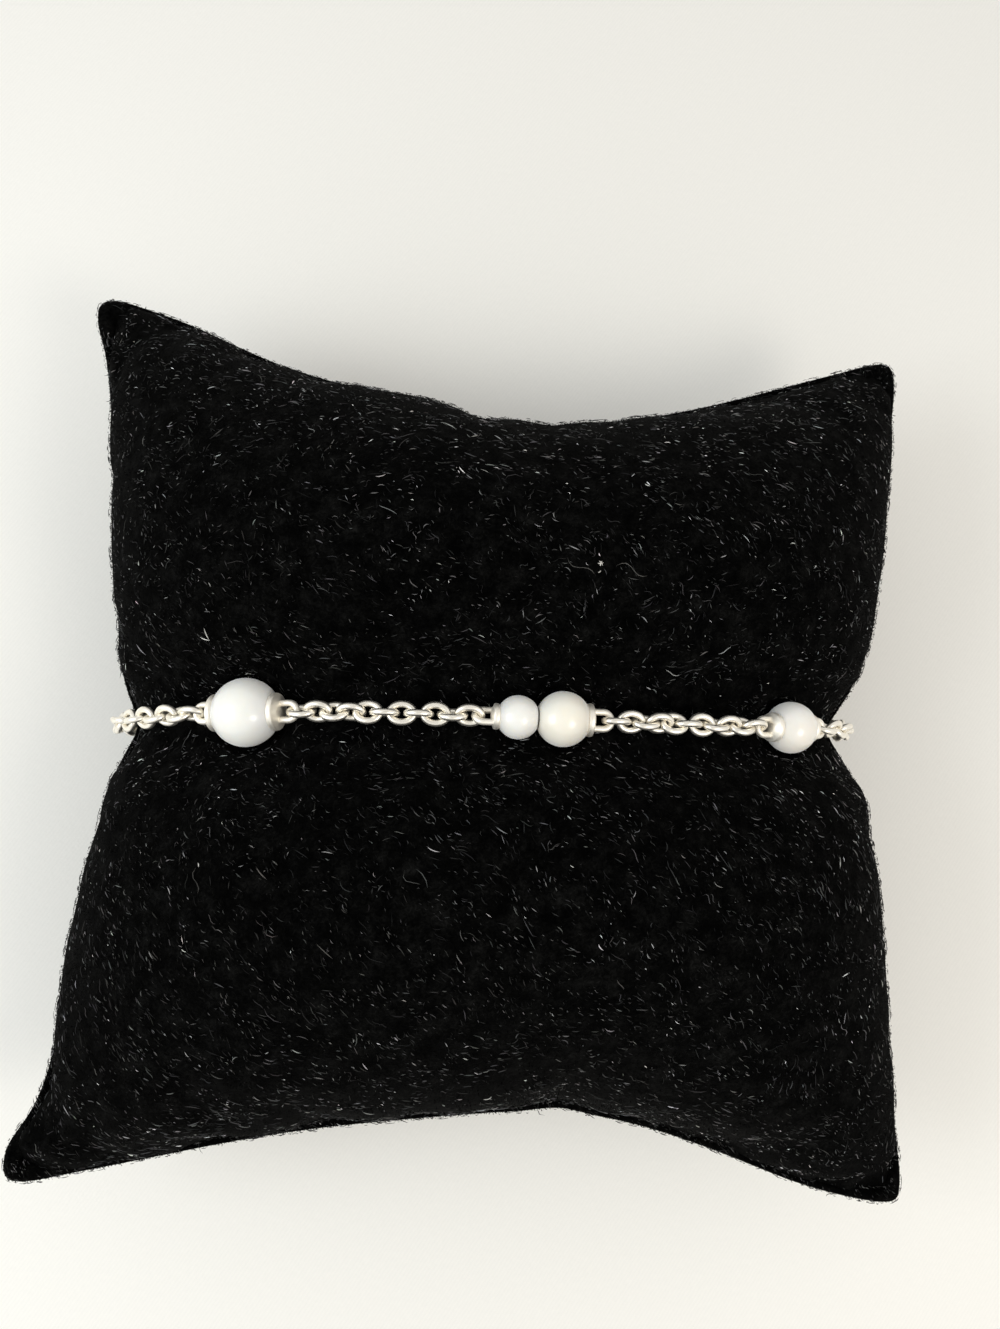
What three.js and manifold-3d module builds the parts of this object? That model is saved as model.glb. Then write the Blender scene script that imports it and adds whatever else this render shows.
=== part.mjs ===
// A pearl station bracelet, fastened round a square velvet display pillow.
//
// The bracelet is one closed loop. A fine cable chain joins three stations: one large pearl, a small and a
// medium pearl side by side, and one medium pearl. Each station ends in two domed caps. A cap, its peg in
// the drilled pearl and its chain eye are soldered metal, so they are one solid. A lobster clasp closes the
// loop under the pillow. The loop pulls a waist into the stuffed pillow, which stands on its two lobes.
//
// Millimetres, +Z up. The origin is on the table under the pillow's centre. The loop runs along X.
import * as THREE from "three";
import { mergeVertices } from "three/addons/utils/BufferGeometryUtils.js";
import Module from "manifold-3d";

const wasm = await Module();
wasm.setup();

// ---------------------------------------------------------------- driving dimensions

const PILLOW = {
  halfWidth: 50.2, // seam corner to centre, along X
  halfDepth: 50.8, // seam corner to centre, along Y
  seamHeight: 20,
  lobeRise: 28, // from the seam to the top of a lobe
  lobeDrop: 24, // from the seam down, before the table flattens it
  columns: 30,
  rows: 34,
};
const EAR = { inset: 0.016, power: 30 }; // share of the half-width that the round corners give up

// How far each seam bows in from the square that its corners make. at runs from -1 to 1 along the seam.
const SEAM_BOW = {
  left: [
    { at: -1, inset: -0.5 },
    { at: -0.93, inset: 0.2 },
    { at: -0.85, inset: 2.7 },
    { at: -0.5, inset: 4.9 },
    { at: -0.15, inset: 7.0 },
    { at: 0.15, inset: 6.8 },
    { at: 0.5, inset: 4.7 },
    { at: 0.85, inset: 2.0 },
    { at: 1, inset: -0.2 },
  ],
  right: [
    { at: -1, inset: -0.3 },
    { at: -0.86, inset: 0.6 },
    { at: -0.5, inset: 2.9 },
    { at: -0.15, inset: 4.5 },
    { at: 0.15, inset: 4.7 },
    { at: 0.5, inset: 2.7 },
    { at: 0.86, inset: 0.5 },
    { at: 1, inset: 0 },
  ],
  far: [
    { at: -1, inset: -0.8 },
    { at: -0.8, inset: 1.5 },
    { at: -0.55, inset: 6.4 },
    { at: -0.2, inset: 9.9 },
    { at: 0.12, inset: 12.2 },
    { at: 0.3, inset: 10.6 },
    { at: 0.55, inset: 7.2 },
    { at: 0.8, inset: 2.9 },
    { at: 1, inset: -0.4 },
  ],
  near: [
    { at: -1, inset: -0.2 },
    { at: -0.8, inset: 1.9 },
    { at: -0.4, inset: 6.2 },
    { at: 0, inset: 8.7 },
    { at: 0.22, inset: 9.9 },
    { at: 0.34, inset: 8.8 },
    { at: 0.56, inset: 5.7 },
    { at: 0.78, inset: 1.9 },
    { at: 1, inset: -0.2 },
  ],
};

// The centreline of chain and stations: an ellipse over and under the waist, a little askew along Y.
const LOOP = {
  centreX: 0.3,
  centreZ: 19.9,
  halfWidth: 42.9,
  halfHeight: 18.2,
  offsetY: 1.35,
  slantY: 0.0154, // per mm of X
  swingY: 1.43e-5, // per mm3 of X cubed
};

const CHAIN = { width: 2.5, wire: 0.68, linkLength: 3.13, sides: 8, step: 3 };
const GAP = { chain: 0.3, cup: 0.12, bore: 0.25, pillow: 0.3, pearls: 0.12 };

// The waist that the loop pulls into the pillow, beside the loop's own width.
const WAIST = {
  clearance: CHAIN.width / 2 + GAP.pillow, // centreline to cloth
  underClearance: 1.9, // the same under the pillow, where the clasp lies
  spread: 11, // half-width of the soft valley, along Y
  pinchLeft: { depth: 2.8, spread: 4.5 },
  pinchRight: { depth: 4.2, spread: 4.5 },
};

const CAP = { shell: 0.36, rimWidth: 0.16, pegRadius: 0.35, neckRadius: 0.75, neckRise: 0.12 };
const EYE = { radius: 0.86, wire: 0.62, buried: 0.33 }; // buried: how deep it is soldered into the dome

const PEARL_BORE = CAP.pegRadius + GAP.bore;
const ROUND = 16; // facets round a pearl or a cap

// Stations, placed by their distance along the loop from its highest point, positive to the right.
// Each pearl gives its radius, the radius of its cap's rim and the body colour of its nacre.
const STATIONS = [
  { name: "large", along: -26.5, pearls: [{ name: "pearl_large", radius: 3.6, rim: 1.8, tint: 0xeeeff2 }] },
  {
    name: "double",
    along: 3.95,
    contactRadius: 1.07, // the two pearls are ground flat where they meet
    pearls: [
      { name: "pearl_small", radius: 2.25, rim: 1.15, tint: 0xf2f2f2 },
      { name: "pearl_medium", radius: 2.87, rim: 1.5, tint: 0xf3e8d8 },
    ],
  },
  { name: "end", along: 33.6, pearls: [{ name: "pearl_end", radius: 2.85, rim: 1.45, tint: 0xf1ece3 }] },
];

const CLASP = {
  length: 9.6,
  width: 5,
  thickness: 1.3,
  bevel: 0.2,
  wall: 0.8, // the claw's wire, seen from above
  tailRadius: 1.35,
  tailHole: 0.7,
};
const RING = { radius: 1.35, wire: 0.5, slack: 0.25 }; // jump rings, to the middle of their wire

// ---------------------------------------------------------------- materials

const VELVET = { color: 0x0b0b0c, roughness: 0.95, metalness: 0 };
const SILVER = { color: 0xe6e3df, roughness: 0.18, metalness: 1 };
const nacre = (color) => ({ color, roughness: 0.22, metalness: 0 });

// ---------------------------------------------------------------- solids and booleans

// A geometry with one vertex at each place and no collapsed faces.
function weld(geometry) {
  const bare = new THREE.BufferGeometry();
  bare.setAttribute("position", geometry.getAttribute("position"));
  bare.setIndex(geometry.index);
  const merged = mergeVertices(bare, 1e-4);
  const kept = [];
  const index = merged.index.array;
  for (let i = 0; i < index.length; i += 3) {
    const [a, b, c] = [index[i], index[i + 1], index[i + 2]];
    if (a !== b && b !== c && c !== a) kept.push(a, b, c);
  }
  merged.setIndex(kept);
  return merged;
}

function solidOf(geometry) {
  const welded = weld(geometry);
  return new wasm.Manifold(
    new wasm.Mesh({
      numProp: 3,
      vertProperties: new Float32Array(welded.attributes.position.array),
      triVerts: new Uint32Array(welded.index.array),
    }),
  );
}

function geometryOf(solid) {
  const mesh = solid.getMesh();
  const geometry = new THREE.BufferGeometry();
  geometry.setAttribute("position", new THREE.BufferAttribute(mesh.vertProperties, mesh.numProp));
  geometry.setIndex(new THREE.BufferAttribute(mesh.triVerts, 1));
  return geometry;
}

function named(name, geometry, finish) {
  const mesh = new THREE.Mesh(geometry, new THREE.MeshStandardMaterial(finish));
  mesh.name = name;
  return mesh;
}

// ---------------------------------------------------------------- the loop

const loopY = (x) => LOOP.offsetY + LOOP.slantY * x + LOOP.swingY * x ** 3;

// Starts at the highest point and runs to the right, down, back under the pillow and up the left side.
class LoopCurve extends THREE.Curve {
  getPoint(t, target = new THREE.Vector3()) {
    const angle = 2 * Math.PI * t;
    const x = LOOP.centreX + LOOP.halfWidth * Math.sin(angle);
    return target.set(x, loopY(x), LOOP.centreZ + LOOP.halfHeight * Math.cos(angle));
  }
}

const loop = new LoopCurve();
loop.arcLengthDivisions = 800;
const loopLength = loop.getLength();

// A frame on the loop: Z along it, X out of the loop, Y across the pillow.
function frameAt(along) {
  const share = THREE.MathUtils.euclideanModulo(along / loopLength, 1);
  const point = loop.getPointAt(share);
  const tangent = loop.getTangentAt(share);
  const across = new THREE.Vector3(0, 1, 0);
  across.addScaledVector(tangent, -across.dot(tangent)).normalize();
  const out = new THREE.Vector3().crossVectors(across, tangent);
  return new THREE.Matrix4().makeBasis(out, across, tangent).setPosition(point);
}

// ---------------------------------------------------------------- pearls

// Turned round its thread, which is the geometry's Z. flatStart and flatEnd are the radii of flats.
function pearlGeometry(radius, flatStart = 0, flatEnd = 0) {
  const from = Math.asin(Math.max(PEARL_BORE, flatEnd) / radius);
  const to = Math.PI - Math.asin(Math.max(PEARL_BORE, flatStart) / radius);
  const arcSteps = 11;
  const profile = [];
  for (let i = 0; i <= arcSteps; i++) {
    const angle = from + ((to - from) * i) / arcSteps;
    profile.push(new THREE.Vector2(radius * Math.sin(angle), radius * Math.cos(angle)));
  }
  if (flatStart) profile.push(new THREE.Vector2(PEARL_BORE, profile.at(-1).y));
  if (flatEnd) profile.push(new THREE.Vector2(PEARL_BORE, profile[0].y));
  profile.push(profile[0].clone());
  return new THREE.LatheGeometry(profile.reverse(), ROUND).rotateX(Math.PI / 2);
}

// ---------------------------------------------------------------- caps

// From a pearl's centre to the far side of its cap's eye.
const eyeReach = (radius) => radius + GAP.cup + CAP.shell + 2 * EYE.radius + EYE.wire - EYE.buried;

// Dome, rim, neck, peg and eye, for a pearl centred on the origin. The eye points along +Z.
function capGeometry(radius, rim, pegLength) {
  const inner = radius + GAP.cup;
  const outer = inner + CAP.shell;
  const arcSteps = 4;
  const pegEnd = inner - pegLength;
  const profile = [new THREE.Vector2(0, pegEnd), new THREE.Vector2(CAP.pegRadius, pegEnd)];
  const arc = (sphere, fromRadius, toRadius) => {
    const from = Math.asin(fromRadius / sphere);
    const to = Math.asin(toRadius / sphere);
    for (let i = 0; i <= arcSteps; i++) {
      const angle = from + ((to - from) * i) / arcSteps;
      profile.push(new THREE.Vector2(sphere * Math.sin(angle), sphere * Math.cos(angle)));
    }
  };
  arc(inner, CAP.pegRadius, rim);
  arc(outer, rim + CAP.rimWidth, CAP.neckRadius);
  const top = outer + CAP.neckRise;
  profile.push(new THREE.Vector2(CAP.neckRadius, top), new THREE.Vector2(0, top));
  const dome = new THREE.LatheGeometry(profile, ROUND).rotateX(Math.PI / 2);
  const eye = new THREE.TorusGeometry(EYE.radius, EYE.wire / 2, 6, 14).rotateY(Math.PI / 2);
  eye.translate(0, 0, eyeReach(radius) - EYE.radius - EYE.wire / 2);
  return geometryOf(solidOf(dome).add(solidOf(eye)));
}

// ---------------------------------------------------------------- stations

// Where a station's pearls and eyes sit along its own Z. A pair of pearls meets at Z = 0.
function layOut(station) {
  if (station.pearls.length === 1) {
    const [pearl] = station.pearls;
    return [{ ...pearl, z: 0, pegs: [pearl.radius - 0.2, pearl.radius - 0.2] }];
  }
  const flat = station.contactRadius;
  const [first, second] = station.pearls;
  const toFlat = (pearl) => Math.sqrt(pearl.radius ** 2 - flat ** 2) + GAP.pearls / 2;
  return [
    { ...first, z: -toFlat(first), flatEnd: flat, pegs: [toFlat(first) + first.radius - 0.2] },
    { ...second, z: toFlat(second), flatStart: flat, pegs: [toFlat(second) + second.radius - 0.2] },
  ];
}

function buildStation(station) {
  const group = new THREE.Group();
  group.applyMatrix4(frameAt(station.along));
  const pearls = layOut(station);
  for (const pearl of pearls) {
    const geometry = pearlGeometry(pearl.radius, pearl.flatStart, pearl.flatEnd);
    const ball = named(pearl.name, geometry, nacre(pearl.tint));
    ball.position.z = pearl.z;
    group.add(ball);
  }
  const [first, last] = [pearls[0], pearls.at(-1)];
  for (const [side, pearl, peg] of [["left", first, first.pegs[0]], ["right", last, last.pegs.at(-1)]]) {
    const cap = named(`cap_${station.name}_${side}`, capGeometry(pearl.radius, pearl.rim, peg), SILVER);
    cap.rotation.y = side === "left" ? Math.PI : 0;
    cap.position.z = pearl.z;
    group.add(cap);
  }
  return { group, pearls, start: first.z - eyeReach(first.radius), end: last.z + eyeReach(last.radius) };
}

// ---------------------------------------------------------------- chain

// A tube along the loop between two points of it, leaving at each end in line with what it hooks into.
function chainGeometry(startPoint, startAlong, endPoint, endAlong) {
  const blend = 2 * CHAIN.linkLength;
  const steps = Math.ceil((endAlong - startAlong) / CHAIN.step);
  const points = [];
  for (let i = 0; i <= steps; i++) {
    const along = THREE.MathUtils.lerp(startAlong, endAlong, i / steps);
    const onLoop = new THREE.Vector3().setFromMatrixPosition(frameAt(along));
    const ends = [
      [startPoint, startAlong],
      [endPoint, endAlong],
    ];
    for (const [point, at] of ends) {
      const shift = point.clone().sub(new THREE.Vector3().setFromMatrixPosition(frameAt(at)));
      onLoop.addScaledVector(shift, Math.max(0, 1 - Math.abs(along - at) / blend));
    }
    points.push(onLoop);
  }
  const section = new THREE.Shape();
  const radius = CHAIN.width / 2;
  for (let i = 0; i < CHAIN.sides; i++) {
    const angle = (2 * Math.PI * i) / CHAIN.sides;
    section[i ? "lineTo" : "moveTo"](radius * Math.cos(angle), radius * Math.sin(angle));
  }
  const path = new THREE.CatmullRomCurve3(points, false, "centripetal");
  return new THREE.ExtrudeGeometry(section, { steps, extrudePath: path, bevelEnabled: false });
}

// ---------------------------------------------------------------- clasp

// A lobster clasp as one closed piece, flat in the XY plane, its tail towards +X, centred on the origin.
function claspGeometry() {
  const half = CLASP.length / 2;
  const tailX = half - CLASP.tailRadius;
  const bodyRadius = CLASP.width / 2;
  const bodyX = bodyRadius - half;
  const outline = new THREE.Shape();
  outline.absarc(bodyX, 0, bodyRadius - CLASP.bevel, Math.PI / 2 - 0.15, (3 * Math.PI) / 2 + 0.15, false);
  outline.absarc(tailX, 0, CLASP.tailRadius - CLASP.bevel, -Math.PI / 2 - 0.1, Math.PI / 2 + 0.1, false);
  outline.closePath();
  const mouth = new THREE.Path();
  const mouthRadius = bodyRadius - CLASP.wall;
  mouth.absarc(bodyX, 0, mouthRadius + CLASP.bevel, Math.PI / 2, (3 * Math.PI) / 2, false);
  mouth.absarc(bodyX + 2.2, 0, 0.75 + CLASP.bevel, -Math.PI / 2, Math.PI / 2, false);
  mouth.closePath();
  const eye = new THREE.Path();
  eye.absarc(tailX, 0, CLASP.tailHole + CLASP.bevel, 0, 2 * Math.PI, false);
  outline.holes.push(mouth, eye);
  const flat = CLASP.thickness - 2 * CLASP.bevel;
  const geometry = new THREE.ExtrudeGeometry(outline, {
    depth: flat,
    bevelThickness: CLASP.bevel,
    bevelSize: CLASP.bevel,
    bevelSegments: 1,
    curveSegments: 7,
  });
  return geometry.translate(0, 0, -flat / 2);
}

// A jump ring standing in the XZ plane.
function jumpRingGeometry() {
  return new THREE.TorusGeometry(RING.radius, RING.wire / 2, 6, 14).rotateX(Math.PI / 2);
}

// ---------------------------------------------------------------- pillow

// A smooth inset between the rows of a seam's table.
function smoothInset(rows) {
  const curve = new THREE.CubicInterpolant(
    rows.map((row) => row.at),
    rows.map((row) => row.inset),
    1,
  );
  return (at) => curve.evaluate(THREE.MathUtils.clamp(at, -1, 1))[0];
}

const bow = Object.fromEntries(
  Object.entries(SEAM_BOW).map(([seam, rows]) => [seam, smoothInset(rows)]),
);
const bell = (distance, spread) => Math.exp(-((distance / spread) ** 2));

// One point of the pillow's skin. across and along run from -1 to 1 between the seams; side is 1 above the
// seam and -1 below it.
function pillowPoint(across, along, side) {
  const edge = across < 0 ? bow.left : bow.right;
  const end = along < 0 ? bow.near : bow.far;
  const halfDepth = PILLOW.halfDepth - end(across);
  const threadX = across * LOOP.halfWidth;
  const y = along * halfDepth + loopY(threadX) * (1 - Math.abs(along));
  const fromThread = y - loopY(threadX);
  const pinch = across < 0 ? WAIST.pinchLeft : WAIST.pinchRight;
  const halfWidth = PILLOW.halfWidth - edge(along) - pinch.depth * bell(fromThread, pinch.spread);
  const ear = 1 - EAR.inset * Math.abs(across * along) ** EAR.power;

  const round = Math.sqrt(1 - across ** 2);
  const fill = round * (1 - Math.abs(along) ** 2.4) ** 0.6;
  const lobe = side > 0 ? PILLOW.lobeRise : PILLOW.lobeDrop;
  const clearance = side > 0 ? WAIST.clearance : WAIST.underClearance;
  const waist = LOOP.halfHeight - clearance;
  const valley = bell(fromThread, WAIST.spread) * (1 - along ** 4);
  const rise = lobe * fill * (1 - valley) + waist * round * valley;
  const z = Math.max(0, PILLOW.seamHeight + side * rise);
  return new THREE.Vector3(across * halfWidth * ear, y * ear, z);
}

function pillowGeometry() {
  const { columns, rows } = PILLOW;
  const positions = [];
  const index = [];
  // Columns crowd towards the side seams; rows crowd towards the end seams and the waist.
  const acrossAt = (i) => Math.sin((Math.PI / 2) * ((2 * i) / columns - 1));
  const alongAt = (j) => {
    const step = (2 * j) / rows - 1;
    return Math.sin((Math.PI / 2) * Math.sign(step) * Math.abs(step) ** 1.5);
  };
  for (const side of [1, -1]) {
    const first = positions.length / 3;
    for (let j = 0; j <= rows; j++)
      for (let i = 0; i <= columns; i++) positions.push(...pillowPoint(acrossAt(i), alongAt(j), side));
    for (let j = 0; j < rows; j++) {
      for (let i = 0; i < columns; i++) {
        const a = first + j * (columns + 1) + i;
        const [b, c, d] = [a + 1, a + columns + 2, a + columns + 1];
        // Each cell's diagonal points at the nearest corner, so no triangle lies wholly in the seam.
        const facesCorner = i < columns / 2 === j < rows / 2;
        const pair = facesCorner ? [a, b, c, a, c, d] : [a, b, d, b, c, d];
        index.push(...(side > 0 ? pair : pair.reverse()));
      }
    }
  }
  const geometry = new THREE.BufferGeometry();
  geometry.setAttribute("position", new THREE.Float32BufferAttribute(positions, 3));
  geometry.setIndex(index);
  return geometry;
}

// Balls a little larger than the pearls with their caps on, which leave their dents in the pillow.
function dents(stations) {
  return stations.flatMap(({ group, pearls }) => {
    group.updateMatrixWorld(true);
    return pearls.map((pearl) => {
      const radius = pearl.radius + GAP.cup + CAP.shell + GAP.pillow;
      const ball = new THREE.SphereGeometry(radius, 16, 12);
      ball.translate(0, 0, pearl.z).applyMatrix4(group.matrixWorld);
      return solidOf(ball);
    });
  });
}

// ---------------------------------------------------------------- assembly

const bracelet = new THREE.Group();
const stations = STATIONS.map(buildStation);
stations.forEach(({ group }) => bracelet.add(group));

// The clasp lies under the middle of the pillow, with a jump ring in its mouth and one in its tail.
const claspMatrix = frameAt(loopLength / 2);
const claspPoint = new THREE.Vector3().setFromMatrixPosition(claspMatrix);
const clasp = new THREE.Group();
clasp.position.copy(claspPoint);
clasp.add(named("clasp", claspGeometry(), SILVER));
const ringReach = RING.radius - RING.wire / 2 - RING.slack; // from the wall it hangs on to its middle
const ringOffset = {
  tail: CLASP.length / 2 - CLASP.tailRadius + CLASP.tailHole + ringReach,
  mouth: -(CLASP.length / 2 - CLASP.wall + ringReach),
};
for (const [end, x] of Object.entries(ringOffset)) {
  const ring = named(`jump_ring_${end}`, jumpRingGeometry(), SILVER);
  ring.position.x = x;
  clasp.add(ring);
}
bracelet.add(clasp);

// Where a chain starts or ends: just outside the eye or the jump ring.
function stationEnd(index, side) {
  const { group, start, end } = stations[index];
  group.updateMatrixWorld(true);
  const z = side === "left" ? start - GAP.chain : end + GAP.chain;
  return {
    point: new THREE.Vector3(0, 0, z).applyMatrix4(group.matrixWorld),
    along: STATIONS[index].along + z,
  };
}

function claspEnd(end) {
  const outward = Math.sign(ringOffset[end]);
  const x = ringOffset[end] + outward * (RING.radius + RING.wire / 2 + GAP.chain);
  return {
    point: claspPoint.clone().add(new THREE.Vector3(x, 0, 0)),
    along: loopLength / 2 - x,
  };
}

const CHAINS = [
  { name: "chain_front_left", from: stationEnd(0, "right"), to: stationEnd(1, "left") },
  { name: "chain_front_right", from: stationEnd(1, "right"), to: stationEnd(2, "left") },
  { name: "chain_back_right", from: stationEnd(2, "right"), to: claspEnd("tail") },
  { name: "chain_back_left", from: claspEnd("mouth"), to: stationEnd(0, "left") },
];
for (const { name, from, to } of CHAINS) {
  const toAlong = to.along < from.along ? to.along + loopLength : to.along;
  const geometry = chainGeometry(from.point, from.along, to.point, toAlong);
  bracelet.add(named(name, geometry, SILVER));
}

const whole = solidOf(pillowGeometry());
const pillowSolid = dents(stations).reduce((solid, dent) => solid.subtract(dent), whole);
const pillow = named("pillow", geometryOf(pillowSolid), VELVET);

const part = new THREE.Group();
part.add(pillow, bracelet);
const middle = new THREE.Box3().setFromObject(pillow).getCenter(new THREE.Vector3());
part.position.set(-middle.x, -middle.y, 0);

export default part;
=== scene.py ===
"""The looks of a pearl station bracelet that is fastened round a black velvet display pillow."""

import math

import bpy
import numpy as np
from mathutils import Matrix, Vector


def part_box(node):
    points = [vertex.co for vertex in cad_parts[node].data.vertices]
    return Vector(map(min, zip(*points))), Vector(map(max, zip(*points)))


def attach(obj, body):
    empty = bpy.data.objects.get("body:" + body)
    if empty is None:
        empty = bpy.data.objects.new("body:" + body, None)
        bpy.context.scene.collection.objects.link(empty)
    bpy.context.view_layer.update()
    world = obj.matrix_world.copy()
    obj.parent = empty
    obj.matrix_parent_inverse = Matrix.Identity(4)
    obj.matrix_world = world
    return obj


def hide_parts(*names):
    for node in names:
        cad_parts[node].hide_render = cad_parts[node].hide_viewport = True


bl_info = {
    "name": "Pearl station bracelet",
    "version": (1, 0, 0),
    "blender": (4, 5, 0),
    "location": "3D View > Sidebar > Bracelet",
    "description": "Models a pearl station bracelet on a velvet display pillow round its CAD frame",
    "category": "Object",
}

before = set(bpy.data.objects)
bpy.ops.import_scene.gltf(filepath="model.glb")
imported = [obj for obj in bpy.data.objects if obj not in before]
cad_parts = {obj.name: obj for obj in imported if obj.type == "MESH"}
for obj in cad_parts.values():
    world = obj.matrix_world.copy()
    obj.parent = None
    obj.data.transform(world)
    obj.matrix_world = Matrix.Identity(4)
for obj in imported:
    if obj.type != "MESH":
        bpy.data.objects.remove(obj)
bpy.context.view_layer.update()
MM = 0.001


# ------------------------------------------------------------------ settings


def length_setting(name, description, default):
    """A setting that is a length, in metres."""
    return bpy.props.FloatProperty(
        name=name, description=description, default=default, unit="LENGTH", precision=5,
    )


def angle_setting(name, description, degrees):
    """A setting that is an angle, with its default in degrees."""
    return bpy.props.FloatProperty(
        name=name, description=description, default=math.radians(degrees), subtype="ANGLE",
    )


def count_setting(name, description, default):
    """A setting that counts hairs or fibres."""
    return bpy.props.IntProperty(name=name, description=description, default=default, min=0)


def colour_setting(name, description, default):
    """A setting that is a material's colour."""
    return bpy.props.FloatVectorProperty(
        name=name, description=description, default=default,
        subtype="COLOR", size=3, min=0, max=1,
    )


class ChainSettings(bpy.types.PropertyGroup):
    """Sizes of the cable chain's links and of the wire in caps and rings."""

    link_length: length_setting("Link length", "Outer length of one link", 3.2 * MM)
    link_width: length_setting("Link width", "Outer width of one link", 2.58 * MM)
    wire: length_setting("Wire", "Thickness of a link's wire", 0.73 * MM)
    eye_wire: length_setting("Eye wire", "Thickness of the wire in a cap's eye", 0.7 * MM)
    eye_radius: length_setting(
        "Eye radius", "From an eye's centre to the middle of its wire", 0.87 * MM,
    )
    ring_wire: length_setting("Jump ring wire", "Thickness of the wire in a jump ring", 0.5 * MM)
    jitter: angle_setting("Jitter", "How far a link may turn away from its neighbours' pattern", 5)


class PearlSettings(bpy.types.PropertyGroup):
    """Shape of the pearls and caps, and the body colours of the nacre."""

    bore: length_setting("Bore", "Radius meant for the hole in a pearl's end", 0.6 * MM)
    flat: length_setting("Flat", "Radius meant for the flat where two pearls meet", 0.95 * MM)
    cup_gap: length_setting("Cup gap", "Gap between a pearl and its cap", 0.1 * MM)
    rim: length_setting("Rim", "Breadth of the thick rim round a cap", 0.7 * MM)
    cool: colour_setting("Cool white", "Body colour of the large pearl", (0.885, 0.885, 0.83))
    white: colour_setting("White", "Body colour of the small pearl", (0.88, 0.875, 0.83))
    cream: colour_setting("Cream", "Body colour of the medium pearl", (0.885, 0.872, 0.79))
    warm: colour_setting("Warm white", "Body colour of the end pearl", (0.88, 0.868, 0.83))


class PillowSettings(bpy.types.PropertyGroup):
    """How the velvet pillow is stuffed, sewn and covered in pile."""

    swell: length_setting("Swell", "The furthest that the stuffing may move the cloth", 0.8 * MM)
    pressure: bpy.props.FloatProperty(
        name="Pressure", description="How hard the stuffing presses on the cloth while it settles",
        default=1200, min=0,
    )
    fill: bpy.props.FloatProperty(
        name="Fill", description="How tightly it is stuffed, from slack to tight",
        default=0.75, min=0, max=1, subtype="FACTOR",
    )
    seam_height: length_setting("Seam height", "Height of the side seams above the table", 20 * MM)
    seam_radius: length_setting(
        "Seam radius", "Half the thickness of the sewn edge between the corners", 0.5 * MM,
    )
    ear_radii: bpy.props.FloatVectorProperty(
        name="Ear radii", size=4, unit="LENGTH", precision=5,
        description="Roundness of the corners: near left, far left, near right, far right",
        default=(1.2 * MM, 1.5 * MM, 0.85 * MM, 1.0 * MM),
    )
    pucker: bpy.props.FloatVectorProperty(
        name="Pucker", size=2, unit="LENGTH", precision=5,
        description="How far the stitches draw the middle of the near and far edges in",
        default=(1.15 * MM, 0.5 * MM),
    )
    pile: length_setting("Pile", "Depth of the velvet's pile", 0.3 * MM)
    hairs: count_setting("Pile hairs", "Number of short hairs that stand on the cloth", 42000)
    fuzz: count_setting("Seam fuzz", "Number of short hairs along the sewn edge", 17000)
    strands: count_setting(
        "Loose strands", "Number of fine curved strands that lie on the pile", 13500,
    )
    filaments: count_setting(
        "Long filaments", "Number of long, kinked filaments among the strands", 1700,
    )
    flecks: count_setting(
        "Flecks", "Number of tiny pale flecks where a fibre's end catches the light", 18500,
    )
    velvet: colour_setting("Velvet", "Colour of the velvet", (0.0011, 0.0011, 0.00105))


class StageSettings(bpy.types.PropertyGroup):
    """The table, the light and the camera."""

    camera_place: bpy.props.FloatVectorProperty(
        name="Camera place", description="Where the camera stands",
        default=(-5.95 * MM, -7.43 * MM, 139.6 * MM), subtype="TRANSLATION", size=3, precision=5,
    )
    tilt: angle_setting("Tilt", "The camera's tilt from straight down", 7.76)
    pan: angle_setting("Pan", "The camera's turn to the side", -3.49)
    roll: angle_setting("Roll", "The camera's turn about its own view", 2.74)
    lens: bpy.props.FloatProperty(
        name="Lens", description="Focal length in millimetres on a 36 mm sensor", default=27.09,
    )
    ambient: bpy.props.FloatProperty(
        name="Ambient", description="Strength of the light from all round", default=0.77,
    )


def settings(name):
    """The scene's settings of one kind."""
    return getattr(bpy.context.scene, f"bracelet_{name}")


# ------------------------------------------------------------------ the bracelet's loop


def centre_of(node):
    """The middle of a CAD node's box."""
    low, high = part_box(node)
    return (low + high) / 2


def node_points(node):
    """The corners of a CAD node's mesh."""
    return [vertex.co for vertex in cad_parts[node].data.vertices]


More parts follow.
